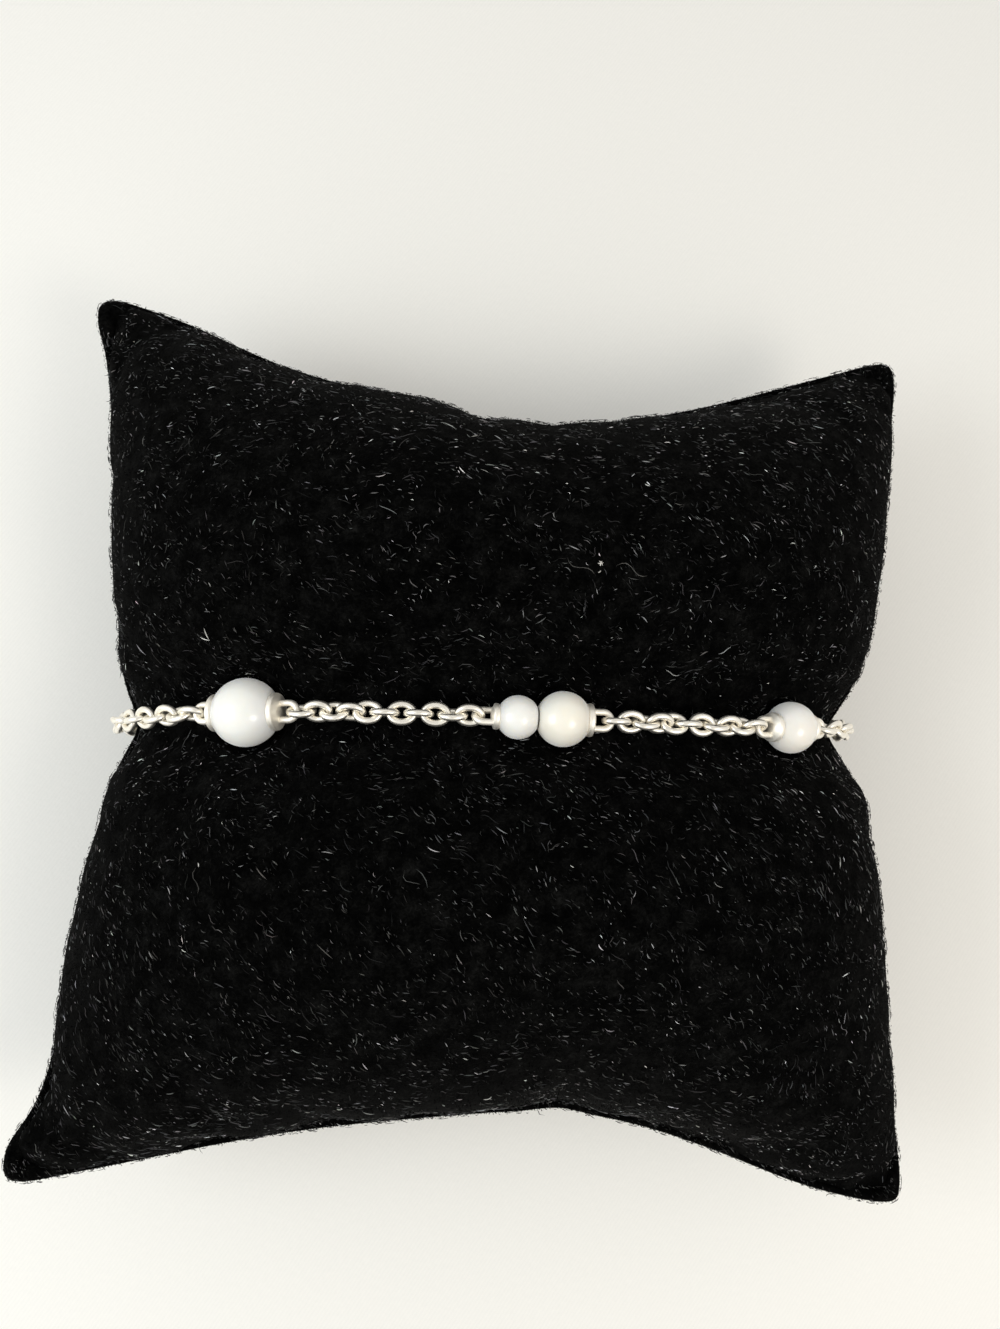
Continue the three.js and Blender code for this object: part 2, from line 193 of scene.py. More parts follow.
class Loop:
    """The bracelet's centreline, an ellipse round the pillow's waist, found from the frame."""

    steps = 2400

    def __init__(self):
        # The thread drifts along Y, so the tube's box is about a tenth wider than the tube.
        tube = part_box("chain_front_left")
        half_tube = (tube[1].y - tube[0].y) / 2.2
        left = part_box("chain_back_left")[0].x + half_tube
        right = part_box("chain_back_right")[1].x - half_tube
        bottom, large, end = map(centre_of, ("clasp", "pearl_large", "pearl_end"))
        self.x = (left + right) / 2
        self.half_width = (right - left) / 2
        reach = (large.x - self.x) / self.half_width
        self.half_height = (large.z - bottom.z) / (1 + math.sqrt(1 - reach**2))
        self.z = bottom.z + self.half_height
        # Its drift along Y is a straight slant and a cubic swing through the clasp and two pearls.
        places = np.array([[p.x - bottom.x, (p.x - bottom.x) ** 3] for p in (large, end)])
        self.drift = np.linalg.solve(places, [large.y - bottom.y, end.y - bottom.y])
        self.bottom = bottom
        self.walk()

    def walk(self):
        """Steps round the ellipse from its highest point, to the right first, and measures it."""
        angle = np.linspace(0, 2 * math.pi, self.steps + 1)
        x = self.x + self.half_width * np.sin(angle)
        z = self.z + self.half_height * np.cos(angle)
        offset = x - self.bottom.x
        y = self.bottom.y + self.drift[0] * offset + self.drift[1] * offset**3
        self.points = np.stack([x, y, z], 1)
        lengths = np.linalg.norm(np.diff(self.points, axis=0), axis=1)
        self.travelled = np.concatenate([[0], np.cumsum(lengths)])
        self.length = self.travelled[-1]

    def place(self, along):
        """The point at a distance along the loop."""
        along = along % self.length
        return Vector([np.interp(along, self.travelled, self.points[:, i]) for i in range(3)])

    def heading(self, along):
        """The direction of travel at a distance along the loop."""
        step = 0.4 * MM
        return (self.place(along + step) - self.place(along - step)).normalized()

    def distance_to(self, point):
        """The distance along the loop at which it comes nearest to a point."""
        nearest = np.argmin(np.linalg.norm(self.points - np.array(point), axis=1))
        return self.travelled[nearest]


def turned_frame(point, heading, roll=0.0):
    """A frame at a point: Z is the heading, X points into the loop and Y lies across the pillow."""
    across = Vector((0, 1, 0))
    across = (across - heading * across.dot(heading)).normalized()
    inward = across.cross(heading)
    basis = Matrix((inward, across, heading)).transposed().to_4x4()
    return Matrix.Translation(point) @ basis @ Matrix.Rotation(roll, 4, "Z")


# ------------------------------------------------------------------ modelling helpers


def deselect():
    """Leaves no object selected and no edit mode open."""
    if bpy.context.object and bpy.context.object.mode != "OBJECT":
        bpy.ops.object.mode_set(mode="OBJECT")
    bpy.ops.object.select_all(action="DESELECT")


def select_only(*objects):
    """Selects these objects and makes the first one active."""
    deselect()
    for item in objects:
        item.select_set(True)
    bpy.context.view_layer.objects.active = objects[0]


def edit(item):
    """Opens edit mode on one object with everything selected."""
    select_only(item)
    bpy.ops.object.mode_set(mode="EDIT")
    bpy.ops.mesh.select_all(action="SELECT")


def edit_part(item, test):
    """Opens edit mode on one object with only the vertices selected whose places pass the test."""
    edit(item)
    bpy.ops.mesh.select_all(action="DESELECT")
    bpy.ops.object.mode_set(mode="OBJECT")
    for vertex in item.data.vertices:
        vertex.select = bool(test(vertex.co))
    bpy.ops.object.mode_set(mode="EDIT")


def done():
    """Closes edit mode and returns the active object."""
    bpy.ops.object.mode_set(mode="OBJECT")
    return bpy.context.object


def seat(item, matrix):
    """Moves a finished piece by its mesh, so that its object stays at the origin."""
    item.data.transform(item.matrix_world)
    item.matrix_world = Matrix.Identity(4)
    item.data.transform(matrix)
    return item


def join(name, items):
    """Joins the items into one named piece."""
    select_only(*items)
    bpy.ops.object.join()
    piece = bpy.context.object
    piece.name = piece.data.name = name
    return piece


def smooth(item, angle):
    """Smooth shading that keeps edges sharper than the angle, in degrees."""
    select_only(item)
    bpy.ops.object.shade_smooth_by_angle(angle=math.radians(angle))


def finish_piece(piece, material, slot, *nodes):
    """Gives a piece its material, its body and the CAD nodes that it stands for."""
    piece.data.materials.clear()
    piece.data.materials.append(material)
    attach(piece, "root")
    if nodes:
        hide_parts(*nodes)


def turned(name, profile, sides):
    """A solid of revolution about Z, modelled ring by ring from a filled circle."""
    deselect()
    radius, height = profile[0]
    bpy.ops.mesh.primitive_circle_add(
        vertices=sides, radius=radius, fill_type="NGON", location=(0, 0, 0),
    )
    item = bpy.context.object
    item.name = item.data.name = name
    edit(item)
    bpy.ops.transform.translate(value=(0, 0, height))
    for next_radius, next_height in profile[1:]:
        bpy.ops.mesh.extrude_region_move(
            TRANSFORM_OT_translate={"value": (0, 0, next_height - height)}
        )
        scale = next_radius / radius
        bpy.ops.transform.resize(
            value=(scale, scale, 1), center_override=(0, 0, next_height)
        )
        radius, height = next_radius, next_height
    bpy.ops.mesh.select_all(action="SELECT")
    bpy.ops.mesh.normals_make_consistent(inside=False)
    return done()


def wire_ring(name, radius, wire, around, section):
    """A closed ring of round wire in the XY plane."""
    deselect()
    bpy.ops.mesh.primitive_torus_add(
        major_radius=radius, minor_radius=wire / 2,
        major_segments=around, minor_segments=section, location=(0, 0, 0),
    )
    item = bpy.context.object
    item.name = item.data.name = name
    return item


def copy_node(node, name):
    """A CAD node's mesh as a new piece, with its loose triangles merged."""
    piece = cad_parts[node].copy()
    piece.data = piece.data.copy()
    piece.name = piece.data.name = name
    piece.parent = None
    bpy.context.collection.objects.link(piece)
    piece.hide_render = False
    piece.hide_set(False)
    edit(piece)
    bpy.ops.mesh.remove_doubles(threshold=0.002 * MM)
    return done()


def unit(vectors):
    """Vectors of length 1."""
    return vectors / np.maximum(np.linalg.norm(vectors, axis=-1, keepdims=True), 1e-12)


# ------------------------------------------------------------------ materials


def new_material(name):
    """An empty material with its shader, and short ways to add and link nodes."""
    material = bpy.data.materials.new(name)
    material.use_nodes = True
    tree = material.node_tree
    shader = tree.nodes["Principled BSDF"]

    def add(kind, **values):
        node = tree.nodes.new(kind)
        for key, value in values.items():
            if key in node.inputs:
                node.inputs[key].default_value = value
            else:
                setattr(node, key, value)
        return node

    def link(source, output, target, socket):
        tree.links.new(source.outputs[output], target.inputs[socket])

    return material, shader, add, link


def set_all(shader, **values):
    """Sets sockets of a shader by their names, with underscores for spaces."""
    for key, value in values.items():
        shader.inputs[key.replace("_", " ")].default_value = value


def add_bump(add, link, shader, sources):
    """Chains bumps of (node, output, distance in metres) into the shader's normal."""
    last = None
    for node, output, distance in sources:
        bump = add("ShaderNodeBump", Distance=distance, Strength=1.0)
        link(node, output, bump, "Height")
        if last:
            link(last, "Normal", bump, "Normal")
        last = bump
    link(last, "Normal", shader, "Normal")


def set_stops(ramp, *stops):
    """Gives a colour ramp its stops, pairs of a position and a colour in rising order."""
    elements = ramp.color_ramp.elements
    for end, (position, color) in zip(elements, (stops[0], stops[-1])):
        end.position, end.color = position, (*color, 1)
    for position, color in stops[1:-1]:
        elements.new(position).color = (*color, 1)


def silver_material(name, smoothest, roughest, metallic):
    """Silver with a fine, uneven surface, between two roughnesses."""
    material, shader, add, link = new_material(name)
    set_all(shader, Metallic=metallic, Base_Color=(1.0, 0.955, 0.86, 1))
    place = add("ShaderNodeTexCoord")
    waves = add("ShaderNodeTexNoise", Scale=700.0, Detail=1.0)
    scratches = add("ShaderNodeTexNoise", Scale=5000.0, Detail=2.0)
    rough = add("ShaderNodeMapRange")
    set_all(rough, From_Min=0.3, From_Max=0.7, To_Min=smoothest, To_Max=roughest)
    for node in (waves, scratches):
        link(place, "Object", node, "Vector")
    link(scratches, "Fac", rough, "Value")
    link(rough, "Result", shader, "Roughness")
    add_bump(add, link, shader, [(waves, "Fac", 0.02 * MM), (scratches, "Fac", 0.0004 * MM)])
    return material


def wire_silver():
    """The bright silver of the links, the rings and the clasp, made once."""
    name = "drawn_silver"
    return bpy.data.materials.get(name) or silver_material(name, 0.3, 0.42, 0.94)


def nacre_material(name, body, blush):
    """A pearl's nacre: a body colour that drifts towards a blush, under a clear soft lustre."""
    material, shader, add, link = new_material(name)
    set_all(
        shader, Roughness=0.34, Subsurface_Weight=0.6, Subsurface_Scale=1.2 * MM,
        Subsurface_Radius=(1.0, 0.9, 0.75), Sheen_Weight=0.7, Sheen_Roughness=0.55,
        Coat_Weight=0.5, Coat_Roughness=0.14, Coat_IOR=1.65,
        Specular_IOR_Level=0.5,
    )
    place = add("ShaderNodeTexCoord")
    cloud = add("ShaderNodeTexNoise", Scale=160.0, Detail=2.0)
    ripple = add("ShaderNodeTexNoise", Scale=420.0, Detail=1.0)
    drift = add("ShaderNodeMapRange")
    set_all(drift, From_Min=0.35, From_Max=0.7, To_Min=0.0, To_Max=0.8)
    # The colour sockets of a mix have the same names as its plain ones, so they go by number.
    mix = add("ShaderNodeMix", data_type="RGBA")
    mix.inputs[6].default_value = (*body, 1)
    mix.inputs[7].default_value = (*blush, 1)
    for node in (cloud, ripple):
        link(place, "Object", node, "Vector")
    link(cloud, "Fac", drift, "Value")
    link(drift, "Result", mix, 0)
    link(mix, 2, shader, "Base Color")
    add_bump(add, link, shader, [(ripple, "Fac", 0.012 * MM)])
    return material


def velvet_material(color):
    """Black velvet: a deep ground with dim painted glints, flecks where fibres catch the light."""
    material, shader, add, link = new_material("black_velvet")
    set_all(
        shader, Roughness=0.95, Specular_IOR_Level=0.02,
        Sheen_Weight=0.008, Sheen_Roughness=0.45, Sheen_Tint=(0.85, 0.84, 0.8, 1),
    )
    place = add("ShaderNodeTexCoord")
    nap = add("ShaderNodeTexNoise", Scale=2200.0, Detail=3.0, Roughness=0.65, Distortion=1.0)
    lay = add("ShaderNodeTexNoise", Scale=520.0, Detail=3.0)
    ramp = add("ShaderNodeValToRGB")
    # The paler stops are painted glints, three and eight times the velvet's colour, where pile
    # fibres would catch the light.
    set_stops(ramp, *(
        (position, [strength * channel for channel in color])
        for position, strength in ((0.4, 0.1), (0.5, 1.0), (0.6, 3.0), (0.72, 8.0))
    ))
    both = add("ShaderNodeMix", data_type="FLOAT")
    both.inputs[0].default_value = 0.5
    for node in (nap, lay):
        link(place, "Object", node, "Vector")
    link(nap, "Fac", both, 2)
    link(lay, "Fac", both, 3)
    link(both, 0, ramp, "Fac")
    link(ramp, "Color", shader, "Base Color")
    add_bump(add, link, shader, [(nap, "Fac", 0.1 * MM)])
    return material


def fibre_material():
    """Loose fibres, each as pale as its shade attribute says."""
    material, shader, add, link = new_material("loose_fibre")
    set_all(shader, Roughness=0.6, Specular_IOR_Level=0.12)
    # On the pile's strands, filaments and flecks this shade is a painted glint, paler where a fibre
    # should look lit; on the lint it is the threads' own pale colour.
    shade = add("ShaderNodeAttribute", attribute_name="shade")
    link(shade, "Color", shader, "Base Color")
    return material


def table_material():
    """A pale tabletop cloth with a fine, barely visible slanting weave."""
    material, shader, add, link = new_material("pale_table")
    set_all(shader, Roughness=0.8, Specular_IOR_Level=0.2)
    place = add("ShaderNodeTexCoord")
    slant = add("ShaderNodeMapping")
    slant.inputs["Rotation"].default_value = (0, 0, math.radians(33))
    threads = add("ShaderNodeTexWave", Scale=680.0, Distortion=1.5, Detail=1.0)
    fluff = add("ShaderNodeTexNoise", Scale=1500.0, Detail=2.0)
    weave = add("ShaderNodeMix", data_type="FLOAT")
    weave.inputs[0].default_value = 0.65
    tone = add("ShaderNodeValToRGB")
    set_stops(tone, (0.0, (0.86, 0.85, 0.812)), (1.0, (0.915, 0.9, 0.857)))
    link(place, "Object", slant, "Vector")
    link(slant, "Vector", threads, "Vector")
    link(place, "Object", fluff, "Vector")
    link(threads, "Fac", weave, 2)
    link(fluff, "Fac", weave, 3)
    link(weave, 0, tone, "Fac")
    link(tone, "Color", shader, "Base Color")
    add_bump(add, link, shader, [(fluff, "Fac", 0.03 * MM)])
    return material


# ------------------------------------------------------------------ pearls and caps


PEARLS = {
    # node: (material slot, the settings' body colour, blush)
    "pearl_large": ("nacre_cool", "cool", (0.85, 0.85, 0.85)),
    "pearl_small": ("nacre_white", "white", (0.87, 0.835, 0.775)),
    "pearl_medium": ("nacre_cream", "cream", (0.88, 0.80, 0.675)),
    "pearl_end": ("nacre_warm", "warm", (0.85, 0.79, 0.69)),
}


STATION_CAPS = {
    # node: (pearl, side of the pearl: 1 is onwards along the loop, how far its eye is turned)
    "cap_large_left": ("pearl_large", -1, 0),
    "cap_large_right": ("pearl_large", 1, 0),
    "cap_double_left": ("pearl_small", -1, 138),
    "cap_double_right": ("pearl_medium", 1, 0),
    "cap_end_left": ("pearl_end", -1, 0),
    "cap_end_right": ("pearl_end", 1, 0),
}

# A cap's hollow flank from its rim to its neck: shares of the rim's radius and of the rise.
CAP_FLANK = ((0.8, 0.25), (0.68, 0.5), (0.56, 0.74), (0.46, 0.9), (0.34, 0.98), (0.06, 1.0))


def pearl_place(node, loop):
    """A pearl's centre, radius and thread direction, from its CAD solid."""
    low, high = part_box(node)
    radius = (high.z - low.z) / 2
    centre = centre_of(node)
    if node == "pearl_small":
        centre.x = low.x + radius
    if node == "pearl_medium":
        centre.x = high.x - radius
    return centre, radius, loop.heading(loop.distance_to(centre))


def drill(item, radius, bore, cut, end):
    """Opens one end of a pearl, where it is as wide as cut, and pushes what it held inwards.

    Known fault: the end doesn't get the clean flat and hole that it should have. The bisect's
    own tolerance, 0.1 mm, also takes in the rings next to the cut. So the end stays open, 0.86
    to 1.12 mm in radius, with a loose disc inside whose faces are doubled and turned by chance.
    The caps and the neighbouring pearl hide it.
    """
    height = end * math.sqrt(radius**2 - cut**2)
    edit(item)
    bpy.ops.mesh.bisect(
        plane_co=(0, 0, height), plane_no=(0, 0, end), clear_outer=True, use_fill=True,
    )
    if cut > bore:
        bpy.ops.mesh.inset(thickness=cut - bore)
    bpy.ops.mesh.extrude_region_move(
        TRANSFORM_OT_translate={"value": (0, 0, -end * radius / 3)}
    )
    return done()


def model_pearl(node, loop, look):
    """One pearl, opened at both ends, and wider where it meets another pearl."""
    centre, radius, heading = pearl_place(node, loop)
    deselect()
    bpy.ops.mesh.primitive_uv_sphere_add(
        segments=72, ring_count=48, radius=radius, location=(0, 0, 0),
    )
    pearl = bpy.context.object
    pearl.name = pearl.data.name = f"{node}_nacre"
    start = look.flat if node == "pearl_medium" else look.bore
    end = look.flat if node == "pearl_small" else look.bore
    drill(pearl, radius, look.bore, start, -1)
    drill(pearl, radius, look.bore, end, 1)
    seat(pearl, turned_frame(centre, heading))
    smooth(pearl, 50)
    return pearl


def cap_facts(node, centre, direction):
    """How far a cap's eye reaches from the pearl's centre, and the radius of its rim."""
    offsets = [point - centre for point in node_points(node)]
    reach = max(offset.dot(direction) for offset in offsets)
    rim = max((offset - direction * offset.dot(direction)).length for offset in offsets)
    return reach, rim


def cap_profile(inner, rim, breadth, peg):
    """The turned profile of a cap, from the end of its peg round its thick rim to its neck."""
    profile = [(peg, inner * 0.35), (peg, inner - 0.02 * MM)]
    lip = rim - 0.32 * breadth
    for radius in np.linspace(0.3, 1, 7) * lip:
        profile.append((radius, math.sqrt(inner**2 - radius**2)))
    low = math.sqrt(inner**2 - rim**2) - 0.02 * MM
    half = breadth / 2
    # The rim is a full round roll that bulges a little less at its far side.
    for turn in np.radians(np.linspace(-120, 50, 13)):
        bulge = half * 0.55 * (1 - math.cos(turn))
        profile.append((rim - bulge, low + half + half * math.sin(turn)))
    # From there a cone with a hollow flank rises to the neck.
    top = max(profile[-1][1] + 0.3 * MM, inner + 0.3 * MM)
    rise = top - profile[-1][1]
    for share, height in CAP_FLANK:
        profile.append((rim * share, top - rise * (1 - height)))
    return profile


def model_eye(wires, foot, reach):
    """A cap's eye, a wire staple across the pillow, whose feet are soldered to the cap's face."""
    eye = wire_ring("eye", wires.eye_radius, wires.eye_wire, 36, 12)
    centre = reach - wires.eye_radius - wires.eye_wire / 2
    seat(eye, Matrix.Translation((0, 0, centre)) @ Matrix.Rotation(math.pi / 2, 4, "Y"))
    # The lower half is drawn down into straight legs, which are cut off just inside the cap.
    edit_part(eye, lambda place: place.z < centre - 0.01 * MM)
    bpy.ops.transform.translate(value=(0, 0, -1.5 * MM))
    bpy.ops.mesh.select_all(action="SELECT")
    bpy.ops.mesh.bisect(
        plane_co=(0, 0, foot - 0.3 * MM), plane_no=(0, 0, -1), clear_outer=True, use_fill=True,
    )
    return done()


def model_cap(node, loop, look, wires):
    """A domed cap with its rolled rim, its peg and its soldered eye."""
    pearl, side, turn = STATION_CAPS[node]
    centre, radius, heading = pearl_place(pearl, loop)
    direction = heading * side
    reach, rim = cap_facts(node, centre, direction)
    inner = radius + look.cup_gap
    dome = turned(node, cap_profile(inner, rim, look.rim, look.bore * 0.6), 48)
    eye = model_eye(wires, max(point.co.z for point in dome.data.vertices), reach)
    cap = join(f"{node}_silver", [dome, eye])
    seat(cap, turned_frame(centre, direction, side * math.radians(turn)))
    smooth(cap, 45)
    return cap


# ------------------------------------------------------------------ chain


def model_link(wires):
    """One oval link of round wire, flat in the YZ plane with its length along Z."""
    deselect()
    bpy.ops.curve.primitive_bezier_circle_add(radius=1, location=(0, 0, 0))
    link = bpy.context.object
    bpy.ops.object.mode_set(mode="EDIT")
    bpy.ops.transform.resize(
        value=((wires.link_length - wires.wire) / 2, (wires.link_width - wires.wire) / 2, 1),
    )
    bpy.ops.object.mode_set(mode="OBJECT")
    link.data.resolution_u = 7
    link.data.bevel_depth = wires.wire / 2
    link.data.bevel_resolution = 3
    bpy.ops.object.convert(target="MESH")
    link = bpy.context.object
    link.name = link.data.name = "link"
    edit(link)
    bpy.ops.mesh.remove_doubles(threshold=0.001 * MM)
    bpy.ops.mesh.normals_make_consistent(inside=False)
    done()
    smooth(link, 80)
    return seat(link, Matrix.Rotation(math.pi / 2, 4, "Y"))


def eye_end(node, loop):
    """The far end of a cap's eye, and its distance along the loop."""
    pearl, side, _ = STATION_CAPS[node]
    centre, _, heading = pearl_place(pearl, loop)
    reach, _ = cap_facts(node, centre, heading * side)
    return centre + heading * side * reach, loop.distance_to(centre) + side * reach


def ring_end(node, loop):
    """The far end of a jump ring, and its distance along the loop."""
    low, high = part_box(node)
    centre = centre_of(node)
    outward = 1 if centre.x > loop.bottom.x else -1
    point = Vector((high.x if outward > 0 else low.x, centre.y, centre.z))
    return point, loop.length / 2 - (point.x - loop.bottom.x)


STRETCHES = {
    # node: where it starts and ends, how many links it has, or None for as many as fit, and its
    # twist: pairs of a link's number, counted from the end where it is negative, and how far the
    # chain has turned there beyond its plain quarter turns
    "chain_front_left": (
        "cap_large_right", "cap_double_left", 11,
        (
            (0, 0), (1, 30), (2, 38), (4, 60), (5, 80),
            (7, 90), (9, 96), (10, 112), (11, 126), (12, 138),
        ),
    ),
    "chain_front_right": (
        "cap_double_right", "cap_end_left", 11,
        (
            (0, 0), (1, 3), (2, 22), (4, 45), (5, 63),
            (6, 88), (7, 92), (8, 114), (10, 135), (12, 180),
        ),
    ),
    "chain_back_right": ("cap_end_right", "jump_ring_tail", None, ((0, 0), (2, 45), (15, 180))),
    "chain_back_left": (
        "jump_ring_mouth", "cap_large_left", None,
        ((-16, 0), (-7, 105), (-3, 135), (-1, 180)),
    ),
}


def stretch_ends(node, loop):
    """The two end points of a stretch with their distances along the loop."""
    ends = []
    for anchor in STRETCHES[node][:2]:
        find = eye_end if anchor.startswith("cap") else ring_end
        ends.append(find(anchor, loop))
    (_, start), (_, end) = ends
    if end < start:
        ends[1] = (ends[1][0], end + loop.length)
    return ends


def model_stretch(node, loop, wires, link, rng):
    """All links of one stretch, each a copy of the link, hooked through its neighbours."""
    (start_point, start), (end_point, end) = stretch_ends(node, loop)
    *anchors, count, twists = STRETCHES[node]
    anchor_wires = [
        wires.eye_wire if anchor.startswith("cap") else wires.ring_wire for anchor in anchors
    ]
    inside = wires.link_length / 2 - wires.wire
    first = start - anchor_wires[0] + inside
    last = end + anchor_wires[1] - inside
    taut = wires.link_length - 2 * wires.wire
    count = count or math.ceil((last - first) / taut) + 1
    blend = 4 * wires.link_length
    shifts = [
        (start_point - loop.place(start), start),
        (end_point - loop.place(end), end),
    ]

    def place(along):
        point = loop.place(along)
        for shift, at in shifts:
            point += shift * max(0.0, 1 - abs(along - at) / blend)
        return point

    # An unturned eye lies flat across the pillow and a jump ring stands upright.
    start_turn, end_turn = (
        STATION_CAPS[anchor][2] if anchor.startswith("cap") else 90 for anchor in anchors
    )
    marks, turns = zip(*twists)
    marks = [mark + count + 2 if mark < 0 else mark for mark in marks]
    spare = (end_turn - start_turn - 90 * (count + 1) - turns[-1]) % 180
    links = []
    for number in range(count):
        along = first + (last - first) * number / (count - 1)
        heading = (place(along + 0.5 * MM) - place(along - 0.5 * MM)).normalized()
        twist = np.interp(number + 1, marks, turns) + spare * (number + 1) / (count + 1)
        roll = math.radians(start_turn + 90 * (number + 1) + twist)
        roll += rng.uniform(-wires.jitter, wires.jitter)
        copy = link.copy()
        copy.data = link.data.copy()
        copy.data.transform(turned_frame(place(along), heading, roll))
        bpy.context.collection.objects.link(copy)
        links.append(copy)
    return join(f"{node}_links", links)


# ------------------------------------------------------------------ clasp


def model_jump_ring(node, wires):
    """A closed jump ring of round wire."""
    low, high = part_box(node)
    radius = (high.x - low.x - wires.ring_wire) / 2
    ring = wire_ring(f"{node}_silver", radius, wires.ring_wire, 40, 12)
    seat(ring, Matrix.Translation(centre_of(node)) @ Matrix.Rotation(math.pi / 2, 4, "X"))
    smooth(ring, 80)
    return ring


def model_clasp():
    """The lobster clasp: its CAD solid with rounded edges."""
    clasp = copy_node("clasp", "clasp_silver")
    select_only(clasp)
    bevel = clasp.modifiers.new("round_edges", "BEVEL")
    bevel.width = 0.12 * MM
    bevel.segments = 3
    bevel.limit_method = "ANGLE"
    bevel.angle_limit = math.radians(30)
    bpy.ops.object.modifier_apply(modifier=bevel.name)
    smooth(clasp, 35)
    return clasp


# ------------------------------------------------------------------ pillow


def coordinates(mesh):
    """A mesh's vertex places as an array."""
    places = np.empty(len(mesh.vertices) * 3, np.float32)
    mesh.vertices.foreach_get("co", places)
    return places.reshape(-1, 3)


def set_coordinates(mesh, places):
    """Writes an array of vertex places to a mesh."""
    mesh.vertices.foreach_set("co", places.astype(np.float32).ravel())
    mesh.update()


def subdivide(item, name):
    """Applies one level of smooth subdivision."""
    select_only(item)
    finer = item.modifiers.new(name, "SUBSURF")
    finer.levels = finer.render_levels = 1
    bpy.ops.object.modifier_apply(modifier=name)


# Where the near and far edges are puckered, as a share of the way from the middle to the right,
# and the widths of the lobes and of the notch between them.
PUCKER_SHARE = 0.205
LOBE_WIDTH = 6.5 * MM
NOTCH_WIDTH = 1.5 * MM
# The cloth that stuffing can't move: this near the bracelet's thread, or this low on the table.
WAIST_HELD = 5.5 * MM
TABLE_HELD = 0.3 * MM
SETTLING_FRAMES = 20
# The room that cloth leaves to the chain's thread and to a pearl.
CHAIN_ROOM = 1.5 * MM
PEARL_ROOM = 0.12 * MM
# How far an ear's roundness reaches along the seam, and how much of it lies outside the corner.
EAR_REACH = 4.2 * MM
EAR_OUTSIDE = 0.45 * MM


def crease_seam(pillow, look):
    """Keeps the sewn edge sharp when the cloth is subdivided, and marks it as a group."""
    mesh = pillow.data
    on_seam = np.abs(coordinates(mesh)[:, 2] - look.seam_height) < 0.01 * MM
    group = pillow.vertex_groups.new(name="seam")
    group.add(np.flatnonzero(on_seam).tolist(), 1.0, "REPLACE")
    deselect()
    for part in (mesh.vertices, mesh.edges, mesh.polygons):
        part.foreach_set("select", [False] * len(part))
    for line in mesh.edges:
        line.select = bool(on_seam[line.vertices[0]] and on_seam[line.vertices[1]])
    pillow.select_set(True)
    bpy.context.view_layer.objects.active = pillow
    bpy.context.tool_settings.mesh_select_mode = (False, True, False)
    bpy.ops.object.mode_set(mode="EDIT")
    bpy.ops.transform.edge_crease(value=1.0)
    bpy.context.tool_settings.mesh_select_mode = (True, False, False)
    done()


def seam_vertices(pillow):
    """The numbers of the vertices along the sewn edge."""
    group = pillow.vertex_groups["seam"].index
    return [
        vertex.index for vertex in pillow.data.vertices
        if any(item.group == group and item.weight > 0.99 for item in vertex.groups)
    ]


def nearness(places, loop):
    """Distance from each place to the bracelet's centreline, and the nearest point on it."""
    distances = np.empty(len(places))
    nearest = np.empty(len(places), int)
    line = loop.points[::6]
    for start in range(0, len(places), 4000):
        part = slice(start, start + 4000)
        apart = np.linalg.norm(places[part, None, :] - line[None, :, :], axis=2)
        nearest[part] = apart.argmin(1)
        distances[part] = apart.min(1)
    return distances, line[nearest]


def stuff(pillow, look, loop):
    """Lets stuffing swell the cloth, held at the seam, on the table and under the bracelet."""
    before = coordinates(pillow.data)
    held = pillow.vertex_groups.new(name="held")
    waist = nearness(before, loop)[0] < WAIST_HELD
    table = before[:, 2] < TABLE_HELD
    numbers = set(np.flatnonzero(waist | table).tolist()) | set(seam_vertices(pillow))
    held.add(sorted(numbers), 1.0, "REPLACE")
    select_only(pillow)
    cloth = pillow.modifiers.new("stuffing", "CLOTH")
    cloth.settings.use_pressure = True
    cloth.settings.uniform_pressure_force = look.pressure
    cloth.settings.effector_weights.gravity = 0
    cloth.settings.vertex_group_mass = "held"
    cloth.settings.shrink_min = -0.05
    cloth.settings.bending_stiffness = 0.05
    cloth.point_cache.frame_start = 1
    cloth.point_cache.frame_end = SETTLING_FRAMES
    for number in range(1, SETTLING_FRAMES + 1):
        bpy.context.scene.frame_set(number)
    bpy.ops.object.modifier_apply(modifier=cloth.name)
    bpy.context.scene.frame_set(1)
    pillow.vertex_groups.remove(pillow.vertex_groups["held"])
    moved = coordinates(pillow.data) - before
    length = np.maximum(np.linalg.norm(moved, axis=1, keepdims=True), 1e-9)
    moved *= np.minimum(1, look.swell / length)
    set_coordinates(pillow.data, before + moved)


def sink(pillow, depth):
    """Draws the cloth in by the depth of its pile, but not at the seam or on the table."""
    places = coordinates(pillow.data)
    normals = np.array([vertex.normal for vertex in pillow.data.vertices])
    share = np.clip(places[:, 2:] / (2 * MM), 0, 1)
    share[seam_vertices(pillow)] = 0
    places -= depth * share * normals
    places[:, 2] = np.maximum(places[:, 2], 0)
    set_coordinates(pillow.data, places)


def keep_clear(pillow, loop):
    """Presses the cloth back inside the waist wherever it would touch the chain or a pearl."""
    places = coordinates(pillow.data)
    middle = np.array([loop.x, loop.bottom.y, loop.z])
    inwards = middle - places
    inwards[:, 1] = 0
    inwards = unit(inwards)
    gap = nearness(places, loop)[0] - CHAIN_ROOM
    for node in PEARLS:
        centre, radius, _ = pearl_place(node, loop)
        from_centre = np.linalg.norm(places - np.array(centre), axis=1)
        gap = np.minimum(gap, from_centre - radius - PEARL_ROOM)
    places += inwards * np.maximum(-gap, 0)[:, None]
    set_coordinates(pillow.data, places)


